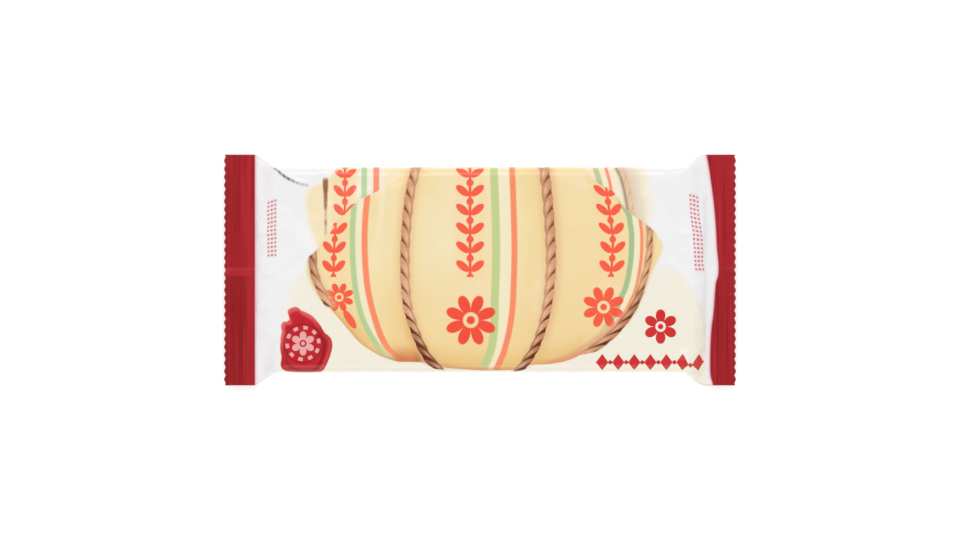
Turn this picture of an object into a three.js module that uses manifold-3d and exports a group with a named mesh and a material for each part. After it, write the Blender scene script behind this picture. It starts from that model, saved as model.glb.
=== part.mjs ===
// A shut flow-wrap pack holding one half-moon slice of cheese. Millimetres, +Z up.
// The pack lies on its flat back. Its length runs along X, its width along Y,
// and the origin is the middle of the back. The film's tube has one girth all
// the way: where the pack gets thinner towards a crimped end, it gets wider.
import * as THREE from "three";
import { mergeVertices } from "three/addons/utils/BufferGeometryUtils.js";
import Module from "manifold-3d";

// Whole pack
const packLength = 256;
const bodyHalfWidth = 51;
const sealHalfWidth = 57.75;
const packHeight = 15.5;
const tipX = packLength / 2;

// End seals: flat crimped fins that stand out at half height
const finHeight = 7;
const finThickness = 0.8;
const sealDepth = 15.5;
const sealStartX = tipX - sealDepth;
const ribPitch = 2.25;
const ribHeight = 0.22;
const ribCount = 6;
const stepsPerRib = 4;

// Serrated edge: broad round lobes between narrow notches
const toothPitch = 4.05;
const toothDepth = 0.8;
const pointsPerTooth = 4;

// Gussets, where the body narrows in height and spreads in width to a seal
const leftGusset = { start: 99, widen: (f) => f ** 1.5, sink: (f) => f ** 1.5 };
const rightGusset = { start: 102, widen: (f) => Math.sin((f * Math.PI) / 2), sink: (f) => f ** 2 };
const gussetSteps = 7;

// The slice inside: a half disc, its arc towards +Y and its cut side along -Y
const sliceRadius = 102;
const sliceCentre = new THREE.Vector2(4, -50);
const slackDepth = 2.6;
const slackReach = 26;

// Section of the body: a box with rounded long edges
const cornerPower = 9;
const backPower = 12;
const backFlatness = 1.06;
const rowsPerHalf = 9;
const bodySteps = 27;

function gussetOf(x) {
  return x < 0 ? leftGusset : rightGusset;
}

// 0 on the body, 1 from the start of a seal on
function gussetFraction(x) {
  const { start } = gussetOf(x);
  return THREE.MathUtils.clamp((Math.abs(x) - start) / (sealStartX - start), 0, 1);
}

function halfWidthAt(x) {
  return THREE.MathUtils.lerp(bodyHalfWidth, sealHalfWidth, gussetOf(x).widen(gussetFraction(x)));
}

// How full the pack stands at a station: 1 on the body, 0 in a seal
function fullnessAt(x) {
  return 1 - gussetOf(x).sink(gussetFraction(x));
}

// The film lies lower in the two corners that the arc of the slice leaves empty.
function slackAt(x, y) {
  const outside = Math.hypot(x - sliceCentre.x, y - sliceCentre.y) - sliceRadius;
  return slackDepth * THREE.MathUtils.smoothstep(outside, 0, slackReach);
}

function ribAt(x) {
  const along = Math.abs(x) - sealStartX;
  if (along <= 0 || along >= ribCount * ribPitch) return 0;
  return ribHeight * Math.sin((2 * Math.PI * along) / ribPitch);
}

function roundedEdge(s, power) {
  return Math.max(0, 1 - Math.abs(s) ** power) ** (1 / power);
}

function frontHeight(x, s) {
  const y = s * halfWidthAt(x);
  const rise = packHeight - finHeight - finThickness / 2 - slackAt(x, y);
  return finHeight + finThickness / 2 + rise * fullnessAt(x) * roundedEdge(s, cornerPower) + ribAt(x);
}

function backHeight(x, s) {
  const drop = (finHeight - finThickness / 2) * fullnessAt(x);
  const reach = Math.min(1, backFlatness * roundedEdge(s, backPower));
  return finHeight - finThickness / 2 - drop * reach + ribAt(x);
}

function linear(from, to, steps) {
  return Array.from({ length: steps }, (_, k) => from + ((to - from) * (k + 1)) / steps);
}

// Stations along the pack, from the left edge to the right edge
function stations() {
  const ribsEnd = sealStartX + ribCount * ribPitch;
  const ribSteps = ribCount * stepsPerRib;
  const overshoot = tipX + toothDepth;
  return [
    -overshoot,
    -ribsEnd,
    ...linear(-ribsEnd, -sealStartX, ribSteps),
    ...linear(-sealStartX, -leftGusset.start, gussetSteps),
    ...linear(-leftGusset.start, rightGusset.start, bodySteps),
    ...linear(rightGusset.start, sealStartX, gussetSteps),
    ...linear(sealStartX, ribsEnd, ribSteps),
    overshoot,
  ];
}

// One closed ring of points: over the front from -Y to +Y, then back underneath
function sectionAt(x) {
  const halfWidth = halfWidthAt(x);
  const ring = [];
  for (let k = -rowsPerHalf; k <= rowsPerHalf; k++) {
    const s = Math.sin((k * Math.PI) / (2 * rowsPerHalf));
    ring.push(new THREE.Vector3(x, s * halfWidth, frontHeight(x, s)));
  }
  for (let k = rowsPerHalf; k >= -rowsPerHalf; k--) {
    const s = Math.sin((k * Math.PI) / (2 * rowsPerHalf));
    ring.push(new THREE.Vector3(x, s * halfWidth, backHeight(x, s)));
  }
  return ring;
}

// Skin between neighbouring rings, with a flat cap across each end
function loft(rings) {
  const count = rings[0].length;
  const positions = rings.flat().flatMap((p) => p.toArray());
  const index = [];
  for (let i = 0; i + 1 < rings.length; i++) {
    for (let j = 0; j < count; j++) {
      const a = i * count + j;
      const b = i * count + ((j + 1) % count);
      index.push(a, a + count, b, b, a + count, b + count);
    }
  }
  const last = (rings.length - 1) * count;
  for (let j = 0; j < count / 2 - 1; j++) {
    const opposite = count - 1 - j;
    index.push(j, j + 1, opposite, opposite, j + 1, opposite - 1);
    index.push(last + j, last + opposite, last + j + 1);
    index.push(last + opposite, last + opposite - 1, last + j + 1);
  }
  const geometry = new THREE.BufferGeometry();
  geometry.setAttribute("position", new THREE.Float32BufferAttribute(positions, 3));
  geometry.setIndex(index);
  return geometry;
}

// What the serrated knife takes off at +X: everything past a row of round lobes
function knifeGeometry() {
  const beyond = tipX + 3 * toothDepth;
  const half = Math.ceil(sealHalfWidth / toothPitch) + 1;
  const shape = new THREE.Shape();
  shape.moveTo(beyond, -half * toothPitch);
  for (let k = 0; k <= 2 * half * pointsPerTooth; k++) {
    const y = (k / pointsPerTooth - half) * toothPitch;
    const lobe = Math.abs(Math.sin((Math.PI * y) / toothPitch));
    shape.lineTo(tipX - toothDepth * (1 - lobe), y);
  }
  shape.lineTo(beyond, half * toothPitch);
  const cut = new THREE.ExtrudeGeometry(shape, { depth: 2 * finHeight, bevelEnabled: false });
  return cut;
}

const wasm = await Module();
wasm.setup();

function solidFrom(geometry) {
  geometry.deleteAttribute("normal");
  geometry.deleteAttribute("uv");
  const merged = mergeVertices(geometry, 1e-4);
  return new wasm.Manifold(
    new wasm.Mesh({
      numProp: 3,
      vertProperties: merged.attributes.position.array,
      triVerts: new Uint32Array(merged.index.array),
    }),
  );
}

function geometryFrom(solid) {
  const mesh = solid.getMesh();
  const geometry = new THREE.BufferGeometry();
  geometry.setAttribute("position", new THREE.BufferAttribute(mesh.vertProperties, mesh.numProp));
  geometry.setIndex(new THREE.BufferAttribute(mesh.triVerts, 1));
  geometry.computeVertexNormals();
  return geometry;
}

const rightKnife = knifeGeometry();
const leftKnife = rightKnife.clone().rotateZ(Math.PI);
const body = solidFrom(loft(stations().map(sectionAt)));
const cutBody = body.subtract(solidFrom(rightKnife)).subtract(solidFrom(leftKnife));

const film = new THREE.MeshStandardMaterial({ color: 0xf0e4cc, roughness: 0.3, metalness: 0 });
const pack = new THREE.Mesh(geometryFrom(cutBody), film);
pack.name = "flow_pack";

const group = new THREE.Group();
group.add(pack);

export default group;
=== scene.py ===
import math
from functools import partialmethod

import bmesh
import bpy
import numpy as np
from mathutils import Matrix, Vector


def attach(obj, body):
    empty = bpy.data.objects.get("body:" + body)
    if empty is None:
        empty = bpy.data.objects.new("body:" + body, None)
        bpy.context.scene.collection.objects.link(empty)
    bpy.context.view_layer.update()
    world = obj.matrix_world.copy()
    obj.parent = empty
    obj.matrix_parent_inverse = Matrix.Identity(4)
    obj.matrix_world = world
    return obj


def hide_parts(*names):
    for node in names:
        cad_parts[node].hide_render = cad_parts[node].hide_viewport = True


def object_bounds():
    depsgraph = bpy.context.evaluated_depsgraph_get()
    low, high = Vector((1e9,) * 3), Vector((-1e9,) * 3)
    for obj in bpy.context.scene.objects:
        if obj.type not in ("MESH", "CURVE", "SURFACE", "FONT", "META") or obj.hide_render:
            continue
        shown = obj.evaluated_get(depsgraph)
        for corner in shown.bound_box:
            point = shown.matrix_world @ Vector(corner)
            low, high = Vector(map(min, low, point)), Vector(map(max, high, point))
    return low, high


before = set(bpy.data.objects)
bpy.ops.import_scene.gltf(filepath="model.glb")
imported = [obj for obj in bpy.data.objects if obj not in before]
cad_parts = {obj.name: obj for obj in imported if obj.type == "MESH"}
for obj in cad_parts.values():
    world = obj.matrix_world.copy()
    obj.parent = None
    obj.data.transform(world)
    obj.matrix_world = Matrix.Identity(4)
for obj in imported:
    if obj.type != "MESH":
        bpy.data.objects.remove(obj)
cadLow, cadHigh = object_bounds()

# Lengths in the dictionaries are millimetres, but the studio's are metres, as the meshes are
mm = 0.001
packLength = (cadHigh.x - cadLow.x) / mm
sealWidth = (cadHigh.y - cadLow.y) / mm
packHeight = (cadHigh.z - cadLow.z) / mm
tipX = packLength / 2
quarterGirth = sealWidth / 2
girth = 4 * quarterGirth
print("frame loaded:", round(packLength, 1), round(sealWidth, 1), round(packHeight, 1))


film = {
    "bodyHalf": 51.0,          # half width of the body
    "finHeight": 7.0,          # height of the end seals over the table
    "finThickness": 0.3,       # two films crimped together
    "frontRadius": 4.2,        # rounding of the front's long edges
    "backRadius": 2.4,
    "radiusShare": 0.48,       # most that a rounding takes of the height
    "wallBulge": 0.5,
    "leftGusset": 99.0,        # where the body starts to turn into a seal
    "rightGusset": 102.0,
    "leftSeal": 112.5,         # where the crimped part starts
    "rightSeal": 113.5,
    "bodyStep": 1.1,           # spacing of the film's mesh along the pack
    "gussetStep": 0.8,
    "crimpStep": 0.56,
    "columns": 360,            # and round the girth
    "toothPitch": 4.05,
    "toothDepth": 0.85,
    "toothReach": 2.4,
    "closing": 0.9,            # over this last stretch the two films come together
    "weld": 0.004,             # points closer than this become one along the cut edges and the back
}

slab = {
    "centre": (6.0, -52.0),    # middle of the cut side of the half-moon slice
    "radius": 103.5,
    "slack": 2.7,              # how far the film sinks where there is no cheese
    "reach": 24.0,
    "rim": 0.35,               # height of the soft line over the slice's round rim
    "rimWidth": 2.2,
}

crimp = {
    "pitch": 2.25,
    "height": 0.17,
    "start": 0.6,
    "plainTip": 3.4,           # the knurled stretch beside the teeth has no ribs
    "seamStep": 0.17,          # the folded back seam shows through as a low step
    "seamFrom": -10.5,
    "seamTo": 1.1,
}


def smoothStep(low, high, x):
    t = np.clip((x - low) / (high - low), 0.0, 1.0)
    return t * t * (3.0 - 2.0 * t)


def gussetFraction(x):
    left = (-x - film["leftGusset"]) / (film["leftSeal"] - film["leftGusset"])
    right = (x - film["rightGusset"]) / (film["rightSeal"] - film["rightGusset"])
    return np.clip(np.where(x < 0, left, right), 0.0, 1.0)


def widening(x):
    f = gussetFraction(x)
    return np.where(x < 0, f ** 1.5, np.sin(f * math.pi / 2))


def sinking(x):
    f = gussetFraction(x)
    return np.where(x < 0, f ** 1.5, f ** 2.2)


def halfWidth(x):
    return film["bodyHalf"] + (quarterGirth - film["bodyHalf"]) * widening(x)


def outsideSlab(x, y):
    cx, cy = slab["centre"]
    return np.hypot(x - cx, y - cy) - slab["radius"]


def tipClosing(u):
    # 1 all the way, down to 0 at the cut edge, where the two films meet
    return 1.0 - smoothStep(tipX - film["closing"], tipX, np.abs(u))


def tubePoint(u, v):
    # u runs along the film, v round it: 0 in the middle of the front, half the girth either way at the seam
    f = gussetFraction(u)
    half = halfWidth(u)
    front = np.abs(v) <= quarterGirth
    along = np.where(front, np.abs(v), 2 * quarterGirth - np.abs(v)) / quarterGirth
    rise = np.where(front, packHeight - film["finHeight"], film["finHeight"])
    height = rise * (1.0 - sinking(u)) + film["finThickness"] / 2 * sinking(u) * tipClosing(u)

    # the body is a box with rounded edges, and turns into a lens towards the seals
    radius = np.where(front, film["frontRadius"], film["backRadius"])
    radius = np.minimum(radius, film["radiusShare"] * height + 1e-6)
    flat, arc, wall = half - radius, radius * math.pi / 2, height - radius
    path = (flat + arc + wall) * along
    turn = np.clip((path - flat) / radius, 0.0, math.pi / 2)
    climb = np.clip((path - flat - arc) / np.maximum(wall, 1e-6), 0.0, 1.0)
    boxY = np.minimum(path, flat) + radius * np.sin(turn) + film["wallBulge"] * np.sin(climb * math.pi / 2)
    boxZ = height - radius * (1.0 - np.cos(turn)) - wall * climb

    lensY = half * along
    lensZ = height * (1.0 - along ** 3)
    blend = smoothStep(0.15, 0.85, f)
    y = np.sign(v) * (boxY + (lensY - boxY) * blend)
    z = boxZ + (lensZ - boxZ) * blend

    slack = slab["slack"] * smoothStep(0.0, slab["reach"], outsideSlab(u, y))
    z = np.where(front, z - slack * (1.0 - sinking(u)) * np.clip(z / rise, 0.0, 1.0), z)
    return u, y, film["finHeight"] + np.where(front, z, -z)


def stations():
    left, right = film["leftSeal"], film["rightSeal"]
    marks = [-tipX, -left, -film["leftGusset"], film["rightGusset"], right, tipX]
    steps = [film["crimpStep"], film["gussetStep"], film["bodyStep"], film["gussetStep"], film["crimpStep"]]
    places = [-tipX]
    for low, high, step in zip(marks, marks[1:], steps):
        count = round((high - low) / step)
        places += [low + (high - low) * (k + 1) / count for k in range(count)]
    return np.array(places)


def ribbing(u):
    left = -u - film["leftSeal"]
    right = u - film["rightSeal"]
    along = np.where(u < 0, left, right) - crimp["start"]
    room = tipX - np.where(u < 0, film["leftSeal"], film["rightSeal"]) - crimp["start"] - crimp["plainTip"]
    ends = smoothStep(0.0, 1.0, along) * (1.0 - smoothStep(room - 0.8, room, along))
    return crimp["height"] * np.sin(2 * math.pi * along / crimp["pitch"]) * ends


def seamStep(u, y):
    inSeal = gussetFraction(u) ** 6
    rise = smoothStep(crimp["seamFrom"] - 3.0, crimp["seamFrom"], y)
    fall = 1.0 - smoothStep(crimp["seamTo"] - 1.4, crimp["seamTo"] + 0.6, y)
    return crimp["seamStep"] * inSeal * rise * fall * tipClosing(u)


# Creases of the film, on its flat lie
creases = {
    # The large ones: the way of each as (along the film, round the film), its height, its width on the left
    # and on the right of its way, and how far the film beyond one side lies lower: the left side, or with
    # a minus the right one
    "large": [
        ([(-84, 7), (-76, 17), (-63.8, 31.3), (-58.4, 35.8), (-48.7, 40.8), (-35, 53)],
         0.75, 1.0, 5.0, 0.7),
        ([(48, 56), (55.2, 46.3), (65.7, 39.8), (70.3, 33.3), (79.3, 25.3), (87.8, 18.3), (96, 4)],
         0.8, 5.0, 1.0, -0.7),
        ([(-111, 56), (-104.8, 53.2), (-101.5, 50), (-98.2, 47.2), (-93.8, 44.7), (-85, 42.3)],
         0.95, 0.9, 2.6, 0.0),
        ([(-90, -8), (-95.5, -20), (-98.6, -34), (-97.8, -53)], 0.6, 3.0, 0.9, 0.0),
        ([(-84, 7), (-94, 2), (-104, -4), (-112, -6)], -0.7, 2.6, 1.6, 0.0),
        ([(-94, -6), (-101, -26), (-108, -54)], -0.7, 2.4, 2.0, 0.0),
        ([(-63.8, 51), (-63.2, 40), (-63.8, 32)], 0.35, 1.2, 0.8, 0.0),
        ([(93, 9), (101, -4), (108, -18), (112.5, -30)], 0.8, 1.2, 3.0, 0.0),
        ([(90, 54), (96, 38), (103, 22), (112.5, 12)], 0.6, 1.4, 2.0, 0.0),
        ([(99, -47), (105, -50), (113.5, -56)], 1.0, 1.2, 1.6, 0.0),
        ([(98, -44), (106, -41), (113.5, -43)], 0.7, 1.4, 1.2, 0.0),
        ([(100, 47), (106, 52), (113.5, 56)], 0.9, 1.6, 1.2, 0.0),
        ([(-96, -47), (-104, -51), (-112.5, -56)], 0.9, 1.6, 1.2, 0.0),
    ],
    # Small ones strewn over a zone: how many, where they start along and round the film, which way they
    # run in degrees, their lengths and their heights
    "strewn": [
        (22, (-112.5, -111.5), (-55, 55), (-22, 22), (6, 24), (0.25, 0.7)),
        (22, (112.5, 113.5), (-55, 55), (158, 202), (6, 22), (0.25, 0.7)),
        (14, (-100, -62), (22, 50), (10, 75), (8, 26), (0.15, 0.42)),
        (14, (66, 100), (14, 50), (105, 165), (8, 26), (0.15, 0.42)),
        (34, (-96, 98), (46, 62), (65, 115), (5, 15), (0.12, 0.4)),
        (34, (-96, 98), (-62, -46), (245, 295), (5, 15), (0.12, 0.4)),
        (12, (-85, 80), (-42, 34), (0, 180), (18, 46), (0.04, 0.10)),
        (16, (-112.5, -111.5), (62, 112), (-25, 25), (6, 26), (0.3, 0.8)),
        (16, (-112.5, -111.5), (-112, -62), (-25, 25), (6, 26), (0.3, 0.8)),
        (16, (112.5, 113.5), (62, 112), (155, 205), (6, 26), (0.3, 0.8)),
        (16, (112.5, 113.5), (-112, -62), (155, 205), (6, 26), (0.3, 0.8)),
        (26, (-95, 95), (64, 100), (60, 120), (8, 24), (0.12, 0.5)),
        (26, (-95, 95), (-100, -64), (240, 300), (8, 24), (0.12, 0.5)),
        (30, (-98, 100), (52, 62), (50, 130), (5, 14), (0.4, 1.1)),
        (30, (-98, 100), (-62, -52), (230, 310), (5, 14), (0.4, 1.1)),
        (24, (-98, 100), (64, 108), (0, 180), (10, 34), (0.2, 0.7)),
        (24, (-98, 100), (-108, -64), (0, 180), (10, 34), (0.2, 0.7)),
    ],
    "bend": 22,                # most that one turns half way, in degrees
    "standing": 0.62,          # share of them that stand up; the others sink, a little less deep
    "sunkLift": -0.8,
    "sides": (0.8, 2.4),
    "seed": 23,
    # shares of the way over which a large or a small one rises and runs out
    "largeEnds": (0.18, 0.25),
    "smallEnds": (0.06, 0.75),
    "crest": 0.4,              # how round all of them are on top
    "dropEdge": (-0.4, 1.8),   # over this stretch beside one the film drops, and then comes up again
    "dropFade": 16.0,
    "dropReach": 28.0,
}


def creaseRelief(u, v, path, lift, left, right, drop, ends):
    reach = 6.0 * max(left, right) + (creases["dropReach"] if drop else 0.0)
    corners = [np.array(p, float) for p in path]
    along, around = [p[0] for p in corners], [p[1] for p in corners]
    near = (u > min(along) - reach) & (u < max(along) + reach)
    near &= (v > min(around) - reach) & (v < max(around) + reach)
    x, y = u[near], v[near]
    best, signed, spent = np.full(x.shape, 1e9), np.zeros(x.shape), np.zeros(x.shape)
    lengths = [np.linalg.norm(b - a) for a, b in zip(corners, corners[1:])]
    gone = 0.0
    for a, b, length in zip(corners, corners[1:], lengths):
        way = (b - a) / length
        t = np.clip((x - a[0]) * way[0] + (y - a[1]) * way[1], 0.0, length)
        dx, dy = x - a[0] - t * way[0], y - a[1] - t * way[1]
        far = np.hypot(dx, dy)
        closer = far < best
        best = np.where(closer, far, best)
        signed = np.where(closer, np.sign(way[0] * dy - way[1] * dx) * far, signed)
        spent = np.where(closer, (gone + t) / sum(lengths), spent)
        gone += length
    width = np.where(signed > 0, left, right)
    shown = smoothStep(0.0, ends[0], spent) * (1.0 - smoothStep(1.0 - ends[1], 1.0, spent))
    ridge = lift * np.exp(-(np.hypot(signed, creases["crest"]) - creases["crest"]) / width)
    beyond = smoothStep(*creases["dropEdge"], signed * np.sign(drop))
    step = -abs(drop) * beyond * np.exp(-np.abs(signed) / creases["dropFade"])
    relief = np.zeros(u.shape)
    relief[near] = (ridge + step) * shown
    return relief


def strewnCreases():
    rng = np.random.default_rng(creases["seed"])
    for count, places, heights, ways, lengths, lifts in creases["strewn"]:
        for _ in range(count):
            start = np.array([rng.uniform(*places), rng.uniform(*heights)])
            turn = math.radians(rng.uniform(*ways))
            bend = math.radians(rng.uniform(-creases["bend"], creases["bend"]))
            length = rng.uniform(*lengths)
            middle = start + 0.5 * length * np.array([math.cos(turn), math.sin(turn)])
            end = middle + 0.5 * length * np.array([math.cos(turn + bend), math.sin(turn + bend)])
            lift = rng.uniform(*lifts)
            lift *= 1.0 if rng.random() < creases["standing"] else creases["sunkLift"]
            left, right = rng.uniform(*creases["sides"], 2)
            yield [start, middle, end], lift, left, right, 0.0, creases["smallEnds"]


ripple = {
    "height": 0.10,
    "slackHeight": 0.28,       # more of it where the film is slack
    "waves": 26,
    "lengths": (9.0, 42.0),
    "seed": 5,
}


def rippleRelief(u, v):
    # Slight unevenness all over, as a sum of seeded waves
    rng = np.random.default_rng(ripple["seed"])
    field = np.zeros(u.shape)
    for _ in range(ripple["waves"]):
        angle = rng.uniform(0, 2 * math.pi)
        length = rng.uniform(*ripple["lengths"])
        phase = rng.uniform(0, 2 * math.pi)
        weight = (length / ripple["lengths"][1]) ** 0.8
        field += weight * np.sin(2 * math.pi * (u * math.cos(angle) + v * math.sin(angle)) / length + phase)
    return field / math.sqrt(ripple["waves"] / 2)


def flatGrid(rows, columns):
    # A flat grid, and how far along and across it each of its points lies, from 0 to 1
    bm = bmesh.new()
    bmesh.ops.create_grid(bm, x_segments=rows, y_segments=columns, size=1.0)
    flat = np.array([vert.co for vert in bm.verts])
    return bm, (flat[:, 0] + 1.0) / 2, (flat[:, 1] + 1.0) / 2


def mapFilm(bm, u, v):
    # The film's flat lie as a UV map: its whole length and its whole girth from 0 to 1
    flatMap = bm.loops.layers.uv.new("filmMap")
    for face in bm.faces:
        for loop in face.loops:
            k = loop.vert.index
            loop[flatMap].uv = (u[k] / packLength + 0.5, v[k] / girth + 0.5)


def place(bm, x, y, z):
    for vert, spot in zip(bm.verts, np.stack([x, y, z], 1) * mm):
        vert.co = spot


def addObject(name, data):
    made = bpy.data.objects.new(name, data)
    bpy.context.scene.collection.objects.link(made)
    return made


def finishMesh(bm, name):
    for face in bm.faces:
        face.smooth = True
    mesh = bpy.data.meshes.new(name)
    bm.to_mesh(mesh)
    bm.free()
    return addObject(name, mesh)


# How the creases, the slice's rim and the unevenness settle in the film
settling = {
    "edge": (0.80, 0.98),      # they get lower towards the long edges, over these shares of the half width
    "atEdge": 0.55,
    "inSeal": 0.1,
    "seamClear": 5.0,          # and run out this close to the middle of the back
    "edgeZone": (8.5, 3.0),    # this far from a long edge they stop standing up, and only sink
    "sunkShare": 0.6,
}


def buildFilm():
    spots = stations()
    rows, columns = len(spots) - 1, film["columns"]
    bm, along, around = flatGrid(rows, columns)
    u = spots[np.rint(along * rows).astype(int)]
    v = (np.rint(around * columns) / columns - 0.5) * girth
    mapFilm(bm, u, v)

    x, y, z = tubePoint(u, v)
    front = np.abs(v) <= quarterGirth
    lobes = 1.0 - np.abs(np.sin(math.pi * y / film["toothPitch"]))
    cut = smoothStep(tipX - film["toothReach"], tipX, np.abs(u))
    x = x - np.sign(u) * film["toothDepth"] * lobes * cut
    z = z + ribbing(u) + np.where(front, seamStep(u, y), 0.0)
    place(bm, x, y, z)
    bm.normal_update()
    normals = np.array([vert.normal for vert in bm.verts])
    normals[np.abs(v) > 2 * quarterGirth - 0.01, 1] = 0.0   # the grid's two long edges stay together

    body = 1.0 - sinking(u)
    edge = 1.0 - smoothStep(*settling["edge"], np.abs(y) / halfWidth(u))
    free = smoothStep(0.0, slab["reach"], outsideSlab(x, y)) * front
    inSeal = smoothStep(film["leftSeal"] - 1.0, film["leftSeal"] + 0.5, np.abs(u))
    large = [(*crease, creases["largeEnds"]) for crease in creases["large"]]
    relief = sum(creaseRelief(u, v, *crease) for crease in [*large, *strewnCreases()])
    relief += slab["rim"] * np.exp(-(outsideSlab(x, y) / slab["rimWidth"]) ** 2) * front * body * edge
    relief += rippleRelief(u, v) * (ripple["height"] + ripple["slackHeight"] * free) * body
    fromSeam = 2 * quarterGirth - np.abs(v)
    relief *= settling["atEdge"] + (1.0 - settling["atEdge"]) * edge
    relief *= (1.0 - (1.0 - settling["inSeal"]) * inSeal) * tipClosing(u)
    relief *= smoothStep(0.0, settling["seamClear"], fromSeam)
    seamRoom = seam["room"] * (1.0 - smoothStep(*seam["roomReach"], fromSeam)) * body
    # On the front creases stand up or sink, on the sides and the back they only sink
    start, stop = settling["edgeZone"]
    onTop = 1.0 - smoothStep(quarterGirth - start, quarterGirth - stop, np.abs(v))
    sunk = np.abs(relief) * settling["sunkShare"] * np.where(front, body, 1.0) + seamRoom
    relief = relief * onTop - sunk * (1.0 - onTop)
    settled = normals * relief[:, None]
    place(bm, x + settled[:, 0], y + settled[:, 1], np.maximum(z + settled[:, 2], 0.0))

    rimVerts = [vert for vert in bm.verts if vert.is_boundary]
    bmesh.ops.remove_doubles(bm, verts=rimVerts, dist=film["weld"] * mm)
    bmesh.ops.recalc_face_normals(bm, faces=bm.faces)
    return finishMesh(bm, "printed_film")


seam = {
    "width": 11.0,
    "fold": 0.9,
    "thickness": 0.16,
    "gap": 0.10,
    "room": 0.34,              # how far the film over it is pressed in,
    "roomReach": (12.0, 17.0),   # and how far on either side
    "short": 1.0,              # how far it stays from the cut edges
    "ribPitch": 1.6,
    "ribHeight": 0.05,
    "step": 0.5,
    "columns": 22,
}


def buildSeam():
    half = tipX - seam["short"]
    bm, along, across = flatGrid(round(2 * half / seam["step"]), seam["columns"])
    u = (2 * along - 1.0) * half
    y = seam["fold"] - across * (seam["width"] + seam["fold"])
    v = np.where(y >= 0, 2 * quarterGirth - np.abs(y), np.abs(y) - 2 * quarterGirth)
    mapFilm(bm, u, across * seam["width"] - girth / 2)
    x, tubeY, z = tubePoint(u, v)
    body = 1.0 - sinking(u)
    down = (seam["gap"] + seam["ribHeight"] * np.sin(2 * math.pi * u / seam["ribPitch"])) * body
    turned = smoothStep(0.0, 0.09, across)
    z = z + ribbing(u) - down * turned + seam["room"] * body
    place(bm, x, tubeY, np.maximum(z, seam["thickness"]))
    bmesh.ops.solidify(bm, geom=bm.faces[:], thickness=seam["thickness"] * mm)
    bmesh.ops.recalc_face_normals(bm, faces=bm.faces)
    return finishMesh(bm, "back_seam")


def srgb(red, green, blue):
    parts = [c / 255 for c in (red, green, blue)]
    linear = [c / 12.92 if c <= 0.04045 else ((c + 0.055) / 1.055) ** 2.4 for c in parts]
    return (*linear, 1.0)


class Ink:
    # One socket of a material; sums on it add Math nodes
    def __init__(self, tree, socket):
        self.tree = tree
        self.socket = socket

    @staticmethod
    def node(tree, kind, settings, sockets):
        # "curve" among the settings is a list of points for a curve node, both ways from 0 to 1
        made = tree.nodes.new(kind)
        for name, value in settings.items():
            if name == "curve":
                spots = made.mapping.curves[0].points
                spots[0].location, spots[-1].location = value[0], value[-1]
                for point in value[1:-1]:
                    spots.new(*point)
                for spot in spots:
                    spot.handle_type = "AUTO_CLAMPED"
                made.mapping.update()
            else:
                setattr(made, name, value)
        for key, value in sockets.items():
            if isinstance(value, Ink):
                tree.links.new(value.socket, made.inputs[key])
            else:
                made.inputs[key].default_value = value
        return made

    @staticmethod
    def source(tree, kind, output, **settings):
        return Ink(tree, Ink.node(tree, kind, settings, {}).outputs[output])

    def other(self, kind, settings, sockets, output=0):
        return Ink(self.tree, Ink.node(self.tree, kind, settings, sockets).outputs[output])

    def maths(self, operation, *others):
        return self.other("ShaderNodeMath", {"operation": operation}, dict(enumerate((self, *others))))

    def flipped(self, operation, first):
        return self.other("ShaderNodeMath", {"operation": operation}, {0: first, 1: self})

    __add__ = __radd__ = partialmethod(maths, "ADD")
    __mul__ = __rmul__ = partialmethod(maths, "MULTIPLY")
    __sub__, __rsub__ = partialmethod(maths, "SUBTRACT"), partialmethod(flipped, "SUBTRACT")
    __truediv__, __rtruediv__ = partialmethod(maths, "DIVIDE"), partialmethod(flipped, "DIVIDE")
    __pow__ = partialmethod(maths, "POWER")
    size = partialmethod(maths, "ABSOLUTE")
    sine = partialmethod(maths, "SINE")
    least = partialmethod(maths, "MINIMUM")
    most = partialmethod(maths, "MAXIMUM")
    above = partialmethod(maths, "GREATER_THAN")
    angle = partialmethod(maths, "ARCTAN2")

    def smooth(self, low, high):
        sockets = {"Value": self, "From Min": low, "From Max": high}
        return self.other("ShaderNodeMapRange", {"interpolation_type": "SMOOTHSTEP"}, sockets)

    def within(self, half, soft):
        return self.size().smooth(half + soft, half - soft)

    def repeat(self, pitch):
        # Distance from the nearest of a row of places, one every pitch
        return self.maths("PINGPONG", pitch / 2)

    def curve(self, points):
        # Value read off a smooth curve through (place, value) points
        # The curve node runs from 0 to 1 both ways, so the values keep some room above and below.
        places, values = zip(*sorted(points))
        low, span = places[0], places[-1] - places[0]
        least, reach = min(values) - 1, max(values) - min(values) + 2
        spots = [((a - low) / span, (b - least) / reach) for a, b in zip(places, values)]
        read = self.other("ShaderNodeFloatCurve", {"curve": spots}, {"Value": (self - low) / span})
        return read * reach + least

    def over(self, mask, colour):
        # Prints a colour over this one
        return self.other("ShaderNodeMix", {"data_type": "RGBA"}, {0: mask, 6: self, 7: colour}, 2)

    def between(self, below, above):
        # As a mask: one colour where it is 0, another where it is 1
        return self.other("ShaderNodeMix", {"data_type": "RGBA"}, {0: self, 6: below, 7: above}, 2)


def distance(a, b):
    return (a * a + b * b) ** 0.5


def printed(paint, *layers):
    # Prints layers over a colour, each given as where, how strongly and in which ink
    for mask, strength, name in layers:
        paint = paint.over(mask * strength, inks[name])
    return paint


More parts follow.
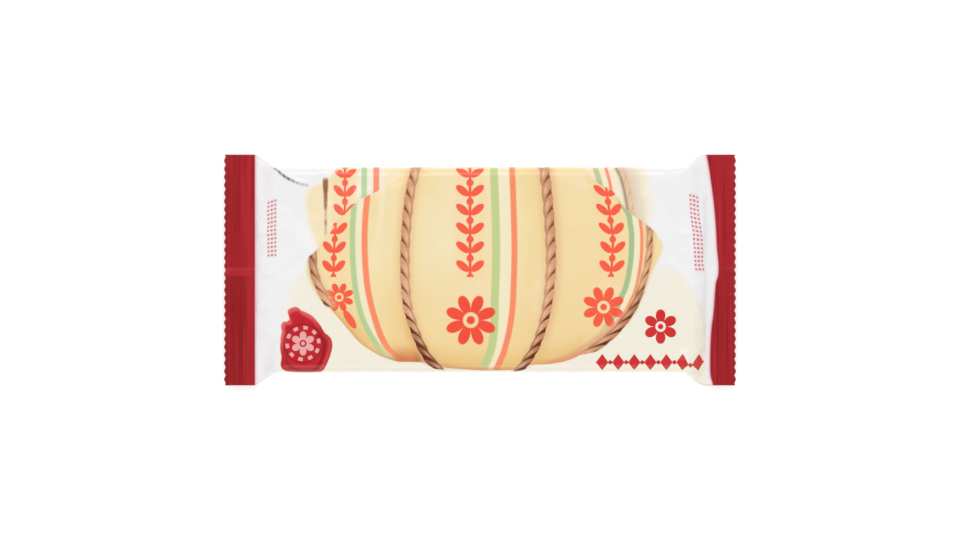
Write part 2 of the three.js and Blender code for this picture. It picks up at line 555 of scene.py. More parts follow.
# Colours of the print. A rope, a stripe or a motif names the one it uses.
inks = {name: srgb(*colour) for name, colour in {
    "white": (240, 239, 240),
    "cream": (241, 236, 220),
    "sealRed": (161, 6, 22),
    "sealLow": (146, 0, 12),
    "sealLight": (183, 27, 41),
    "sealShade": (118, 0, 8),
    "sealPink": (236, 196, 206),
    "cheese": (243, 223, 173),
    "cheeseLight": (248, 232, 204),
    "cheesePale": (243, 228, 192),
    "cheeseWarm": (240, 205, 142),
    "cheeseDeep": (229, 187, 110),
    "groove": (230, 184, 136),
    "cheeseRim": (212, 142, 102),
    "cheeseLow": (208, 118, 68),
    "ropeLight": (240, 196, 160),
    "ropeMid": (214, 156, 114),
    "ropeLow": (168, 108, 70),
    "ropeDeep": (130, 66, 30),
    "ropeGap": (118, 62, 30),
    "ropeDark": (92, 34, 10),
    "ropeEdge": (120, 98, 78),
    "green": (172, 206, 146),
    "greenWarm": (188, 206, 138),
    "greenDeep": (154, 190, 136),
    "stripeRed": (250, 132, 94),
    "stripeWhite": (243, 232, 200),
    "blush": (226, 146, 114),
    "motifRed": (248, 78, 54),
    "motifDeep": (243, 54, 38),
    "motifHalo": (250, 206, 150),
    "signRed": (208, 44, 42),
    "wax": (194, 26, 40),
    "waxLight": (236, 104, 102),
    "waxDark": (116, 12, 20),
    "waxPale": (240, 186, 184),
    "dash": (84, 86, 84),
    "shade": (206, 186, 172),
}.items()}

# The printed cheese. Each line runs down the film as (round the film, along the film) places.
cheese = {
    "top": 50.7,               # above this the lines close towards the far pole, on the back
    "pole": 41.5,
    "leftRim": [(-52, -30), (-46.6, -38), (-45.4, -42.3), (-44.2, -46), (-42.7, -49.8), (-39.8, -54.8),
                (-36.3, -59.8), (-30.8, -64.8), (-25.5, -69.2), (-18.2, -75.6), (-10, -82.2), (-4, -85.2),
                (1, -86.4), (5, -85.3), (8.8, -82.9), (12.5, -86), (20, -88.9), (28, -90.6), (35, -91.4),
                (39, -90.4), (42.3, -86.4), (44.8, -81.4), (48.8, -77.4), (51, -75)],
    "rightRim": [(-52, 24), (-47, 35), (-45.3, 44), (-43.5, 49), (-42, 52.7), (-40.7, 56.5), (-39.2, 59),
                 (-37.2, 62.4), (-34.2, 65.6), (-29.7, 70), (-25.2, 74), (-20.2, 77.2), (-10.2, 81.8),
                 (-2, 85.2), (4, 88.4), (9, 90.6), (12, 91.1), (14.5, 90.2), (17, 88.4), (19, 88.8),
                 (22, 92.6), (31, 94), (40, 93.4), (51, 91)],
    "bottom": [(-100, -50), (-60, -48), (-47, -45.8), (-30, -46), (-22, -48), (-10, -49.6), (6, -50.5),
               (17, -50), (26, -47.3), (36, -46.8), (43, -45.3), (48, -43.5), (53, -42), (60, -42),
               (100, -44)],
    "leftFold": [(-110, -5), (-96, 1), (-88, 5.4), (-82.2, 9.3), (-76, 17), (-70, 24.6), (-63.8, 31.3),
                 (-58.4, 35.8), (-48.7, 40.4), (-34, 54), (-22, 66)],
    "rightFold": [(38, 66), (48, 56), (51.7, 50.7), (55.2, 46.3), (60.2, 42.3), (65.7, 39.7), (67.7, 37.3),
                  (70.3, 33.3), (74.3, 28.8), (79.3, 25.3), (83.3, 22.3), (87.8, 18.3), (92.3, 11.8),
                  (101, -6)],
    "foldShift": (4.4, -9.2),  # how much print the two folds take in
    "foldEnd": (52, 66),       # over this stretch of the long edge they run out
    "reach": (104, 103),   # the picture ends here, short of the gussets' ends
}

ropes = {
    "half": 2.2,
    "pitch": 7.9,
    "lines": {
        "left": [(-26, -69.6), (-17.5, -75.4), (-10.2, -79.2), (-5.2, -81.4), (0, -82.9), (6, -83.4),
                 (51, -83.4)],
        "middleLeft": [(-52, -19.6), (-48.8, -21.2), (-47.1, -22.8), (-44.3, -25.4), (-40.3, -28),
                       (-35.3, -30.5), (-30.3, -32.5), (-25.2, -34.2), (-17.8, -36.2), (-8, -37.2),
                       (5, -37.5), (18, -37), (38.8, -34.8), (51, -32)],
        "middleRight": [(-52, 18.4), (-49.2, 20.3), (-46.2, 22.6), (-42.2, 25.3), (-37.2, 28), (-25.2, 32),
                        (-17.8, 33.6), (-8, 34.8), (5, 35.5), (18, 35), (38.8, 33.4), (51, 31.9)],
        "right": [(-46, 44), (-43.7, 49.4), (-41.3, 53.4), (-38.8, 57.2), (-35.2, 62.1), (-30.2, 67.7),
                  (-25.2, 71.9), (-20.2, 75.5), (-12.8, 79.1), (-2.8, 82.2), (4.8, 83.9), (12.2, 84.6),
                  (22, 84.6), (31, 84.2), (36, 83.4), (42, 82.2), (46, 81.1), (51, 79)],
    },
    # lean of the twist, how much closer the twist gets below, where it ends, width, how it thickens below,
    # how much of it shows past the left fold, and how dark it is as (round the film, strength) places
    "left": {"lean": -1, "extra": 3, "end": -18.4, "width": 0.88, "swell": 0, "pastFold": 0,
             "deep": [(-26, 0), (-14, 0), (-7, 0.12), (0, 0.34), (8, 0.4), (51, 0.4)]},
    "middleLeft": {"lean": -1, "extra": 7, "end": -60, "width": 1, "swell": -0.08, "pastFold": 1,
                   "deep": [(-52, 0.76), (-40, 0.9), (-33, 0.5), (-24, 0.06), (-16, 0), (51, 0)]},
    "middleRight": {"lean": 1, "extra": 8, "end": -60, "width": 1.08, "swell": -0.16, "pastFold": 1,
                    "deep": [(-52, 0.4), (-40, 0.54), (-33, 0.28), (-24, 0), (10, 0), (26, 0.12),
                             (51, 0.08)]},
    "right": {"lean": 1, "extra": 9, "end": -40.8, "width": 0.70, "swell": 0.24, "pastFold": 1,
              "deep": [(-46, 0.14), (-37, 0.24), (-30, 0.3), (-25, 0.48), (-19, 0.62), (-13, 0.56),
                       (-7, 0.16), (0, 0), (51, 0)]},
    # what shows of the left rope past the fold: its shaded edge
    "sliver": {"place": -81.5, "half": 0.45, "from": 17.5, "to": 45.5},
}

stripes = {
    "lines": {
        "left": [(-52, -33), (-43.8, -42.8), (-40.2, -47.1), (-35.2, -50.5), (-30.2, -53.1), (-25.2, -55.1),
                 (-20.2, -56.7), (-15.2, -57.9), (-10.2, -58.9), (-0.2, -60), (14.8, -60.6), (29.8, -59.9),
                 (37, -59.2), (51, -59.2)],
        "middle": [(-52, 4), (-49.2, 5.1), (-45, 7), (-36.8, 9.7), (-24.2, 11.6), (-8, 12.4),
                   (10, 12.8), (30, 12.4), (51, 11.6)],
        "right": [(-46, 40), (-40, 51), (-35, 57.8), (-30.2, 63), (-25.2, 67.1), (-20.2, 70.2),
                  (-15.2, 72.4), (-9.5, 74.9), (0, 77), (8, 77.9), (16, 78.1), (24, 77.3), (28, 76.5),
                  (32, 74.4), (36, 72.6), (42, 71.6), (47, 70.4), (51, 69.3)],
    },
    # green and red: how far from the middle, half width and colour. Then how much they draw in and fade
    # below, and between which places round the film.
    "left": {"green": (-3, 1.4, "green"), "red": (3.05, 1.5),
             "taper": (0.47, -20, -42), "fade": (0.35, -34, -42)},
    "middle": {"green": (-4.75, 2, "greenWarm"), "red": (4.35, 1.5),
               "taper": (0.34, -12, -48), "fade": (0, -40, -50)},
    "right": {"green": (-2.5, 1.35, "greenDeep"), "red": (2.55, 0.8),
              "taper": (0.5, -16, -32), "fade": (0.92, -22, -33)},
}

motifs = {
    "pitch": 9.4,              # of the leaf pairs
    "half": 6.4,
    "floor": -3.5,             # lower end of the garlands
    "ceiling": 62.3,           # and their upper end, over the long edge
    # the way each runs, its width, and the rosette below it with its colour
    "garlands": {
        "left": ([(-10, -73.2), (0, -73), (12, -72.6), (25, -71.8), (51, -71.8)], 0.82,
                 (-70.2, -13.6, 7.4, "motifRed")),
        "middle": ([(-10, -4.9), (51, -5)], 1, (-4.6, -25, 13, "motifDeep")),
        "right": ([(-10, 64.6), (4, 65.8), (14, 66.2), (26, 64.9), (36, 63.6), (42, 62.8), (51, 62)], 0.9,
                  (61.6, -18.5, 10.6, "motifRed")),
    },
    # a last leaf below the left rosette: place, half length, half width, cosine and sine of its lean
    "tail": (-64.9, -24.6, 5.4, 1.9, 0.54, 0.84),
}


def filmPlace(tree):
    flat = Ink.source(tree, "ShaderNodeUVMap", "UV", uv_map="filmMap")
    u = (flat.other("ShaderNodeSeparateXYZ", {}, {0: flat}, 0) - 0.5) * packLength
    v = (flat.other("ShaderNodeSeparateXYZ", {}, {0: flat}, 1) - 0.5) * girth
    return u, v


def unevenness(u, v, wide, tall, detail):
    # A noise that runs with the film, with patches of about the given size
    spread = u.other("ShaderNodeCombineXYZ", {}, {0: u / wide, 1: v / tall})
    return u.other("ShaderNodeTexNoise", {}, {"Vector": spread, "Scale": 1, "Detail": detail})


def pictured(u, v):
    # Where a place on the film lies in the picture: past each fold the film has taken in a strip of print,
    # and over the top edge the picture closes towards its far pole
    leftShift, rightShift = cheese["foldShift"]
    start, stop = cheese["foldEnd"]
    beyondLeft = (v - u.curve(cheese["leftFold"])).smooth(-0.15, 0.15) * v.smooth(stop, start)
    beyondRight = (v - u.curve(cheese["rightFold"])).smooth(-0.15, 0.15) * v.smooth(stop, start)
    moved = u - leftShift * beyondLeft - rightShift * beyondRight
    flaps = (beyondLeft, beyondRight)
    over = ((v - cheese["top"]).most(0) / cheese["pole"]).least(0.999)
    closing = (1 - over * over) ** 0.5
    return moved / closing, v.least(cheese["top"]), closing, flaps


def fromLine(u, v, points):
    # Distance across a line of the picture, less where it slants. The slant is read over 1.2 mm.
    slope = (v + 0.6).curve(points) - (v - 0.6).curve(points)
    return (u - v.curve(points)) / (1 + slope * slope * 0.69) ** 0.5


def ropeInk(paint, line, v, closing, grain, shown, folded, kind):
    # Two strands twisted: one leaf-shaped strand every pitch, with a dark wedge between them that opens
    # on one side
    half = ropes["half"] * kind["width"] * (1 + kind["swell"] * v.smooth(-2, -34))
    across = line * closing / half
    side = across * kind["lean"]
    low = ((-8 - v).most(0) / 42).least(1)
    along = v - kind["extra"] * low * low
    twist = (0.5 - 0.5 * side).most(0) ** 1.3 * (0.8 - 0.15 * low)
    phase = (along / ropes["pitch"] + twist).repeat(1)
    body = (across.size() - phase * 0.5).smooth(1.06, 0.78) * shown
    plain = body * (1 - 0.82 * folded)
    strand = phase.smooth(0.16, 0.42) * (side + 0.3).within(0.4, 0.5)
    wedge = (0.5 + 0.5 * side).most(0) ** 1.3 * (0.17 + 0.18 * low * low) + 0.02 * low
    gap = (phase - wedge).smooth(0.07, -0.05) * (side + 0.3 * low).smooth(-0.95, -0.1)
    return printed(
        paint,
        (across.within(1.7, 0.9) * shown, 0.5, "groove"),
        (plain, 1, "ropeMid"),
        (plain * (v + 9).within(8, 14), 0.3, "ropeLight"),
        (plain * strand, 0.85, "ropeLight"),
        (plain * grain.smooth(0.5, 0.72), 0.5, "ropeLow"),
        (plain * (1 - 0.6 * strand), v.curve(kind["deep"]), "ropeDeep"),
        (plain * side.smooth(-0.5, -1), 0.3, "ropeEdge"),
        ((side + 1.1).within(0.4, 0.55) * shown * folded, 0.75, "ropeEdge"),
        (plain * gap, 0.85, "ropeGap"),
        (body * gap * low.smooth(-0.05, 0.4), 0.85, "ropeDark"),
    )


def rosette(dx, dy, radius, petals):
    far = distance(dx, dy) / radius
    wave = (dy.angle(dx) * (petals / 2)).sine().size()
    petal = (far - 0.34 - 0.66 * wave ** 0.55).smooth(0.035, -0.035) * far.smooth(0.27, 0.33)
    return petal.most(far.smooth(0.19, 0.13))


def garland(dx, dv):
    # Paired leaves on a stem, with a berry between the pairs
    near = dx.size()
    pitch = motifs["pitch"]
    rise = (dv / pitch).maths("FRACT") * pitch - pitch / 2 - near * 0.55 + 1.3
    leaf = distance((near - 3.7) / 3.3, rise / 2.3).smooth(1.07, 0.93)
    berry = distance(near, dv.repeat(pitch)).smooth(1.95, 1.7)
    return leaf.most(near.smooth(0.85, 0.62)).most(berry)


def cheesePicture(paint, u, held, v, closing, flaps, grain, cloud):
    beyondLeft, beyondRight = flaps
    leftRim = (u - held.curve(cheese["leftRim"])) * closing
    rightRim = (held.curve(cheese["rightRim"]) - u) * closing
    bottom = v - u.curve(cheese["bottom"])
    depth = leftRim.least(rightRim).least(bottom)
    upperRight = rightRim.smooth(3, 0) * v.smooth(-4, 8)
    soft = 0.3 + 1.9 * beyondLeft + 2.6 * beyondRight + 0.9 * upperRight   # the print's edge blurs there
    ending = closing.smooth(0.06, 0.13)
    inside = depth.smooth(0 - soft, soft) * ending
    lines = {name: fromLine(u, held, points) for name, points in ropes["lines"].items()}
    fromLeft, fromRight = lines["middleLeft"], lines["middleRight"]

    # Pale on the crowns between the ropes, warm in the grooves beside them and towards the underside
    highlightPlace, highlightHeight = v - 30, (v - 29).within(11, 14)
    body = printed(
        paint.over(1, inks["cheese"]),
        ((u + 11).within(14, 14) * v.smooth(-35, 10), 0.5, "cheesePale"),
        ((u + 92).within(12, 10), 0.6, "cheesePale"),
        # painted highlight: soft reflections of light on the glossy film over the upper left lobe, as a
        # pale patch and two pale streaks
        ((u + 50).within(4, 6) * v.smooth(30, 46), 0.8, "cheesePale"),
        ((u + 49.2 - 0.11 * highlightPlace).within(0.9, 1.7) * highlightHeight, 0.95, "cheeseLight"),
        ((u + 43 - 0.05 * highlightPlace).within(0.9, 1.7) * highlightHeight, 0.4, "cheeseLight"),
        (v.smooth(14, -48), 0.55, "cheeseWarm"),
        (u.smooth(14, 44), 0.22, "cheeseWarm"),
        (fromLeft.within(5, 4.5), 0.55, "cheeseWarm"),
        (fromRight.within(5, 4.5), 0.55, "cheeseWarm"),
        ((fromRight - 3).within(1.8, 2.6), 0.55, "groove"),
        ((fromRight + 8).within(5, 5), 0.3, "cheeseWarm"),
        ((fromLeft + 6.5).within(4.5, 4.5) * v.smooth(-4, -22), 0.6, "cheeseWarm"),
        ((fromLeft + 2.6).within(2.4, 2.4) * v.smooth(-18, -34), 0.75, "cheeseDeep"),
        ((depth * 0.8).smooth(11, 0) * v.smooth(0, -30), 0.8, "cheeseDeep"),
        (closing.smooth(0.9, 0.1), 0.8, "cheeseWarm"),
        (cloud.smooth(0.52, 0.75), 0.3, "cheeseLight"),
        (cloud.smooth(0.48, 0.25), 0.3, "cheeseWarm"),
        # paler past the folds; past the right one this is a painted highlight on the film turned away there
        (beyondLeft, 0.55, "cheesePale"),
        (beyondRight, 0.66, "cream"),
        (beyondRight * (lines["right"] - 3).within(3.4, 3.4), 0.5, "shade"),
    )

    for name, points in stripes["lines"].items():
        kind = stripes[name]
        line = fromLine(u, held, points)
        most, start, stop = kind["taper"]
        drawn = 1 - most * v.smooth(start, stop)
        greenAt, greenHalf, greenInk = kind["green"]
        redAt, redHalf = kind["red"]
        middle = (greenAt + greenHalf + redAt - redHalf) / 2
        gap = (redAt - redHalf - greenAt - greenHalf) / 2
        lost, start, stop = kind["fade"]
        left = 1 - lost * v.smooth(start, stop)

        course, scale, (x, y, radius, redInk) = motifs["garlands"][name]
        dx = (u - held.curve(course)) / scale
        floor, ceiling = motifs["floor"], motifs["ceiling"]
        shown = v.smooth(floor - 0.3, floor + 0.3) * v.smooth(ceiling + 0.3, ceiling - 0.3)
        around = v.smooth(-9, -3) * v.smooth(ceiling + 4, ceiling - 4)
        body = printed(
            body,
            ((line / drawn - middle).within(gap + 0.6, 0.3) * left, 0.92, "stripeWhite"),
            ((line / drawn).within(7, 3) * beyondLeft, 0.45, "white"),
            ((line - greenAt * drawn).within(greenHalf, 0.4) * left, 0.88, greenInk),
            ((line - redAt * drawn).within(redHalf, 0.35), 0.35 + 0.57 * left, "stripeRed"),
            (dx.within(motifs["half"] + 1.4, 1.8) * around, 0.25, "motifHalo"),
            (garland(dx, v - floor) * shown * (1 - beyondRight), 0.94, "motifRed"),
            (rosette(u - x, v - y, radius, 8), 0.94, redInk),
        )

    x, y, long, wide, cosine, sine = motifs["tail"]
    along, off = (u - x) * cosine - (v - y) * sine, (u - x) * sine + (v - y) * cosine
    body = printed(
        body,
        (distance(along / long, off / wide).smooth(1.08, 0.92), 0.9, "motifRed"),
        # the shaded underside lies over the stripes
        (depth.smooth(3.4, 0.1) * v.smooth(-10, -30),
         0.35 + 0.4 * u.smooth(-60, -34) * u.smooth(30, 20), "cheeseRim"),
        ((v + 44).within(2, 6.5) * (u + 37).within(5, 8), 0.75, "cheeseRim"),
        ((v + 47).within(5.5, 5.5) * (u + 36).within(7, 4), 0.85, "cheeseLow"),
        ((v + 44).within(3.5, 3.5) * (u + 30.5).within(1.8, 1.8), 0.4, "ropeGap"),
        (depth.smooth(1, 0) * v.smooth(-12, -24), 0.6, "cheeseRim"),
        ((lines["right"] + 1.5).within(2.6, 1.8) * v.smooth(-20, -33), 0.75, "blush"),
    )
    paint = paint.over(inside, body)

    sliver = ropes["sliver"]
    height = v.smooth(sliver["from"] - 1, sliver["from"] + 1)
    height = height * v.smooth(sliver["to"] + 1.2, sliver["to"] - 1.2)
    wide = sliver["half"] * (1 + 0.7 * v.smooth(30, 34) + 0.7 * v.smooth(38, 42))
    off = (u - sliver["place"] - 0.5 * (cloud - 0.5)).size()
    line = off.smooth(wide + 0.7, wide - 0.4) * height * beyondLeft
    solid = v.smooth(31, 36) * (0.5 + 0.5 * v.smooth(38, 42))
    marks = v.repeat(ropes["pitch"]).smooth(2.2, 0.5).most(solid)
    paint = printed(
        paint,
        (line, 0.45 + 0.5 * v.smooth(28, 35), "ropeLow"),
        (line * marks, 0.5, "ropeGap"),
    )

    for name, line in lines.items():
        kind = ropes[name]
        shown = v.smooth(kind["end"] - 0.9, kind["end"] + 0.9) * depth.smooth(-1.7, -1.1) * ending
        shown = shown * (1 - beyondLeft * (1 - kind["pastFold"]))
        paint = ropeInk(paint, line, v, closing, grain, shown, beyondRight, kind)
    return paint


wax = {
    "centre": (-86.5, -36),
    # outline as (degrees, radius)
    "outline": [(-180, 12.8), (-151, 14.2), (-128, 18.1), (-90, 18.6), (-61, 16.6), (-51, 15.3),
                (-26, 13.4), (1, 12.7), (19, 11.2), (31, 10.2), (49, 10.8), (78, 13.4), (99, 15.9),
                (112, 18.6), (117, 18.6), (124, 15.6), (130, 14), (136, 14.6), (140, 15.4), (158, 13.2),
                (180, 12.8)],
    "stamp": (-88.2, -36.6),
    "petals": 6,
}


def waxSeal(paint, u, v):
    dx, dy = u - wax["centre"][0], v - wax["centre"][1]
    far = distance(dx, dy)
    depth = (dy.angle(dx) * (180 / math.pi)).curve(wax["outline"]) - far
    blob = depth.smooth(-0.3, 0.3)
    stampX, stampY = wax["stamp"]
    px, py = u - stampX, v - stampY
    away, turn = distance(px, py), py.angle(px)
    beads = (away - 7.9).within(0.85, 0.25) * (turn * 10).sine().smooth(-0.1, 0.4)
    flower = rosette(px, py, 6, wax["petals"])
    return printed(
        paint,
        (blob, 1, "wax"),
        # lit along its upper left and right rim, shaded below and inside the rim
        (blob * depth.smooth(3.2, 0.6) * (dy - dx * 0.6).smooth(0, 12), 0.8, "waxLight"),
        (blob * depth.smooth(2.6, 1) * (dx * 0.8 - dy * 0.3).smooth(4, 10), 0.35, "waxLight"),
        (blob * (depth - 3.6).within(0.7, 0.7) * (dx * 0.7 - dy).smooth(-10, 8), 0.8, "waxDark"),
        (blob * depth.smooth(1.4, 0) * (dx * 0.4 - dy).smooth(-8, 9), 0.5, "waxDark"),
        (blob * (away - 9.6).within(0.35, 0.4), 0.6, "waxDark"),
        (blob * flower.most(beads), 0.82, "waxPale"),
    )


sign = {
    "rosette": (90, -28.2, 8.6),
    "row": (84.9, -46),
    "rowHalf": 27.2,
    "pitch": 8,
    "lozenge": (3.1, 4.2),
}


def cornerSign(paint, u, v):
    # A rosette over a row of lozenges with dots between
    x, y, radius = sign["rosette"]
    flower = rosette(u - x, v - y, radius, 6)
    rowX, rowY = sign["row"]
    wide, tall = sign["lozenge"]
    along, off = (u - rowX).repeat(sign["pitch"]), v - rowY
    lozenge = (along / wide + off.size() / tall).smooth(1.05, 0.95)
    dot = distance(sign["pitch"] / 2 - along, off).smooth(1.15, 0.95)
    row = lozenge.most(dot) * (u - rowX).within(sign["rowHalf"], 0.05)
    return paint.over(flower.most(row), inks["signRed"])


smallMarks = {
    # middle along the film, slant, middle round the film, half length, half width
    "columns": [(-103.9, 0, 21.2, 14.5, 2.2), (108.2, -0.085, 18.2, 19.2, 2.3)],
    "arc": [(-107, 56), (-104.8, 53.6), (-101.5, 50), (-98.2, 47.2), (-93.8, 44.7), (-88.2, 42.6),
            (-84, 42.3)],
}


def sideMarks(paint, u, v):
    # Upright rows of small marks near the seals, and a row of dark dashes along the fold at the upper left:
    # partly small print, partly a painted shadow of the fold
    for middle, slant, at, half, width in smallMarks["columns"]:
        off = u - middle - slant * (v - at)
        shown = (v - at).within(half, 0.1) * off.within(width, 0.2)
        bars = (v - at).repeat(2.1).smooth(0.40, 0.62)
        breaks = (off.size() - width * 0.42).size().smooth(0.2, 0.45)
        paint = printed(
            paint,
            ((v - at).within(half + 0.4, 0.8) * off.within(width + 0.3, 0.8), 0.12, "waxLight"),
            (shown * bars * breaks, 0.72, "wax"),
        )
    arc = v - u.curve(smallMarks["arc"])
    shown = u.smooth(-106.5, -101.5) * u.smooth(-84.4, -87) * (0.4 + 0.6 * (u + 97.5).within(4.5, 3.5))
    dashes = 0.55 + 0.45 * u.repeat(2.3).smooth(0.1, 0.5)
    # painted fold shadow along the crease, broken into dashes like small print
    return paint.over(arc.within(0.75, 0.55) * shown * dashes * 0.95, inks["dash"])


sealEdges = {
    # where the red starts: on the left, on the right of the back, and on the right of the front
    # as (round the film, along the film)
    "left": -112.5,
    "backRight": 114.8,
    "right": [(-58, 116.6), (-48, 115), (-33, 115.4), (-21, 116.7), (-7, 117.8), (0.5, 119.2),
              (10, 118.5), (24, 117.7), (46, 115.2), (58, 113.2)],
}


def sealBands(paint, u, v, paintedRibShading):
    front = (quarterGirth - v.size()).above(0)
    edge = v.least(58).most(-58).curve(sealEdges["right"])
    edge = edge * front + sealEdges["backRight"] * (1 - front)
    reach = (u - edge).most(sealEdges["left"] - u)
    inBand = reach.smooth(0.45, 1)
    onLeft = (-1 * u).above(0)
    return printed(
        paint,
        (reach.smooth(-1.6, -0.2), 0.8, "sealPink"),
        (reach.smooth(-0.45, 0.45), 1, "sealRed"),
        (inBand * v.smooth(1.5, 0.5) * front, 0.8, "sealLow"),
        (inBand * reach.smooth(5.2, 3) * onLeft, 0.75, "sealLight"),
        (inBand * (1 - onLeft), 0.3, "sealLight"),
        # painted highlight: the lit edge of the back seam's step where it crosses the left seal
        (inBand * (v + 1).within(1.9, 0.4) * front * onLeft, 0.8, "sealLight"),
        # painted highlight and painted shade in streaks along the crimp, standing for the light on its
        # uneven ribs
        (inBand * paintedRibShading.smooth(0.52, 0.72), 0.7, "sealLight"),
        (inBand * paintedRibShading.smooth(0.46, 0.28), 0.55, "sealShade"),
    )


panel = {"middle": 86, "half": (62, 15), "rulePitch": 4.6}


def backPanel(paint, u, v):
    # Ruled frame on the back, with nothing written in it
    dx, dv = u.size(), (v + panel["middle"]).size()
    wide, tall = panel["half"]
    edge = (dx - wide).most(dv - tall)
    rules = (v + panel["middle"]).repeat(panel["rulePitch"]).smooth(0.32, 0.18) * edge.smooth(-2.4, -2.6)
    return paint.over((edge.within(0.3, 0.12)).most(rules * 0.5) * 0.8, inks["signRed"])


creamField = {
    "left": [(-58, -100), (-25, -98.6), (-12, -95), (-6, -92.4), (0, -89), (8, -86)],
    "right": [(-58, 113.5), (-27, 112), (-20.8, 110), (-11.8, 106), (-1.2, 99.8), (8, 92)],
}


def creamMask(u, v):
    held = v.least(8).most(-58)
    left = (u - held.curve(creamField["left"])).smooth(-3, 3)
    right = (held.curve(creamField["right"]) - u).smooth(-1.5, 1.5)
    return v.smooth(6, -5) * left * right


gloss = {
    "roughness": 0.24,
    "clouding": 0.10,          # rougher by this much where the film is cloudy
    "inSeal": 0.03,            # and by this in the seals
    "sealFrom": (113.5, 114.5),
    "clouds": (90.0, 3.0),     # scale and detail of the unevenness, and of the finer one
    "fine": (420.0, 2.0),
    "knurl": 5.6,              # fineness of the knurling beside the teeth
    "knurlFrom": (123.0, 124.0),
    "shares": (0.25, 0.05, 0.12),   # of the clouds, the finer unevenness and the knurling in the bump
    "bump": (0.0004, 0.5),     # distance and strength
    "ior": 1.45,
}


def nodesOf(owner, kind):
    # The node tree of a material or the world, and its shader
    owner.use_nodes = True
    return owner.node_tree, next(n for n in owner.node_tree.nodes if n.type == kind)


def noise(spot, scale, detail):
    return spot.other("ShaderNodeTexNoise", {}, {"Vector": spot, "Scale": scale, "Detail": detail})


def finishFilm(tree, shader, paint, roughness, height, bump):
    settings = {"Height": height, "Distance": bump[0], "Strength": bump[1]}
    relief = height.other("ShaderNodeBump", {}, settings)
    for name, ink in (("Base Color", paint), ("Roughness", roughness), ("Normal", relief)):
        tree.links.new(ink.socket, shader.inputs[name])


def printMaterial():
    material = bpy.data.materials.new("printedFilm")
    tree, shader = nodesOf(material, "BSDF_PRINCIPLED")
    u, v = filmPlace(tree)
    paint = creamMask(u, v).between(inks["white"], inks["cream"])
    shiftedU, heldV, closing, flaps = pictured(u, v)
    grain = unevenness(u, v, 0.5, 0.9, 2.0)
    cloud = unevenness(u, v, 22.0, 30.0, 2.0)
    picture = cheesePicture(paint, shiftedU, heldV, v, closing, flaps, grain, cloud)
    paint = paint.over(u.size().smooth(*cheese["reach"]), picture)
    for layer in (waxSeal, cornerSign, sideMarks, backPanel):
        paint = layer(paint, u, v)
    paint = sealBands(paint, u, v, unevenness(u, v, 1.3, 60.0, 1.0))

    spot = Ink.source(tree, "ShaderNodeTexCoord", "Object")
    clouds, fine = noise(spot, *gloss["clouds"]), noise(spot, *gloss["fine"])
    inSeal, knurled = u.size().smooth(*gloss["sealFrom"]), u.size().smooth(*gloss["knurlFrom"])
    knurl = (u * gloss["knurl"]).sine() * (v * gloss["knurl"]).sine() * knurled
    cloudShare, fineShare, knurlShare = gloss["shares"]
    height = clouds * cloudShare + fine * fineShare + knurl * knurlShare * inSeal
    roughness = gloss["roughness"] + gloss["clouding"] * clouds + gloss["inSeal"] * inSeal
    finishFilm(tree, shader, paint, roughness, height, gloss["bump"])
    shader.inputs["IOR"].default_value = gloss["ior"]
    return material


seamGloss = {
    "roughness": 0.28,
    "clouding": 0.12,
    "clouds": (160.0, 2.0),
    "bump": (0.0002, 0.4),
    "redFrom": (112.0, 113.4),
}


def seamMaterial():
    material = bpy.data.materials.new("seamFilm")
    tree, shader = nodesOf(material, "BSDF_PRINCIPLED")
    u, _ = filmPlace(tree)
    paint = u.size().smooth(*seamGloss["redFrom"]).between(inks["white"], inks["sealRed"])
    spot = Ink.source(tree, "ShaderNodeTexCoord", "Object")
    clouds = noise(spot, *seamGloss["clouds"])
    roughness = seamGloss["roughness"] + seamGloss["clouding"] * clouds
    finishFilm(tree, shader, paint, roughness, clouds, seamGloss["bump"])
    return material


wrap = buildFilm()
wrap.data.materials.append(printMaterial())
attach(wrap, "root")
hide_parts("flow_pack")
print("film:", len(wrap.data.polygons), "faces")

backSeam = buildSeam()
backSeam.data.materials.append(seamMaterial())
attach(backSeam, "root")
print("back seam:", len(backSeam.data.polygons), "faces")


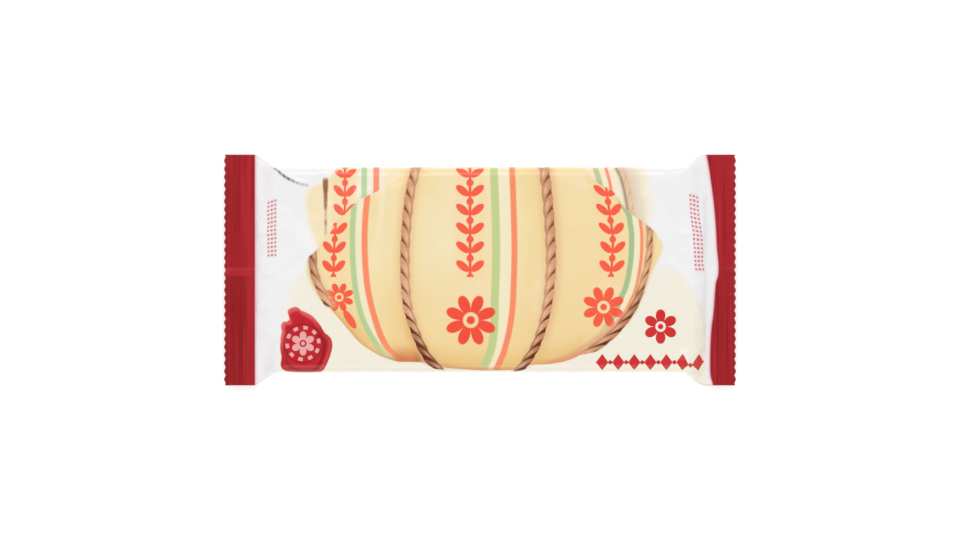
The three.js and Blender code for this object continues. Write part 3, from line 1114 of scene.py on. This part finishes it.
studio = {
    "floorSize": 6.0,
    "floorColour": srgb(250, 250, 250),
    "floorRoughness": 0.9,
    "floorGlow": 0.30,         # the floor is a lit table, so the pack throws little shadow
    "floorDrop": 0.0002,       # how far it lies under the pack
    "overhead": 0.13,          # the room is dim above, bright all round and less so at the horizon
    "around": 0.98,
    "horizon": 0.6,
    "brightFrom": (0.0, 0.5),  # how high it turns brighter and then dimmer: 1 is straight above
    "dimFrom": (0.80, 0.95),
    "lampSize": 0.9,
    "lamps": [((-0.1, 0.98, 1.75), 9.1), ((0.15, -1.02, 1.72), 4.3)],   # place and power
    "lens": 180.0,
    "frameWidth": 0.480,       # width of the view at the pack
}


def buildStudio():
    bm = bmesh.new()
    bmesh.ops.create_grid(bm, x_segments=1, y_segments=1, size=studio["floorSize"] / 2)
    bmesh.ops.translate(bm, verts=bm.verts, vec=Vector((0.0, 0.0, -studio["floorDrop"])))
    floor = finishMesh(bm, "floor")
    material = bpy.data.materials.new("paleFloor")
    _, shader = nodesOf(material, "BSDF_PRINCIPLED")
    shader.inputs["Base Color"].default_value = studio["floorColour"]
    shader.inputs["Roughness"].default_value = studio["floorRoughness"]
    shader.inputs["Emission Color"].default_value = (1.0, 1.0, 1.0, 1.0)
    shader.inputs["Emission Strength"].default_value = studio["floorGlow"]
    floor.data.materials.append(material)

    world = bpy.data.worlds.new("softRoom")
    tree, sky = nodesOf(world, "BACKGROUND")
    way = Ink.source(tree, "ShaderNodeTexCoord", "Generated")
    height = way.other("ShaderNodeSeparateXYZ", {}, {0: way}, 2)
    brighter, dimmer = studio["around"] - studio["horizon"], studio["around"] - studio["overhead"]
    strength = studio["horizon"] + brighter * height.smooth(*studio["brightFrom"])
    strength = strength - dimmer * height.smooth(*studio["dimFrom"])
    sky.inputs["Color"].default_value = (1.0, 1.0, 1.0, 1.0)
    tree.links.new(strength.socket, sky.inputs["Strength"])
    bpy.context.scene.world = world

    for spot, power in studio["lamps"]:
        lamp = bpy.data.lights.new("lamp", "AREA")
        lamp.size = studio["lampSize"]
        lamp.energy = power
        holder = addObject("lamp", lamp)
        holder.location = Vector(spot)
        holder.rotation_euler = (-holder.location).to_track_quat("-Z", "Y").to_euler()

    camera = bpy.data.cameras.new("camera")
    camera.lens = studio["lens"]
    far = studio["frameWidth"] * camera.lens / camera.sensor_width
    eye = addObject("camera", camera)
    eye.location = (0.0, 0.0, packHeight * mm / 2 + far)
    bpy.context.scene.camera = eye
    bpy.context.scene.view_settings.view_transform = "Standard"


buildStudio()
print("studio ready")
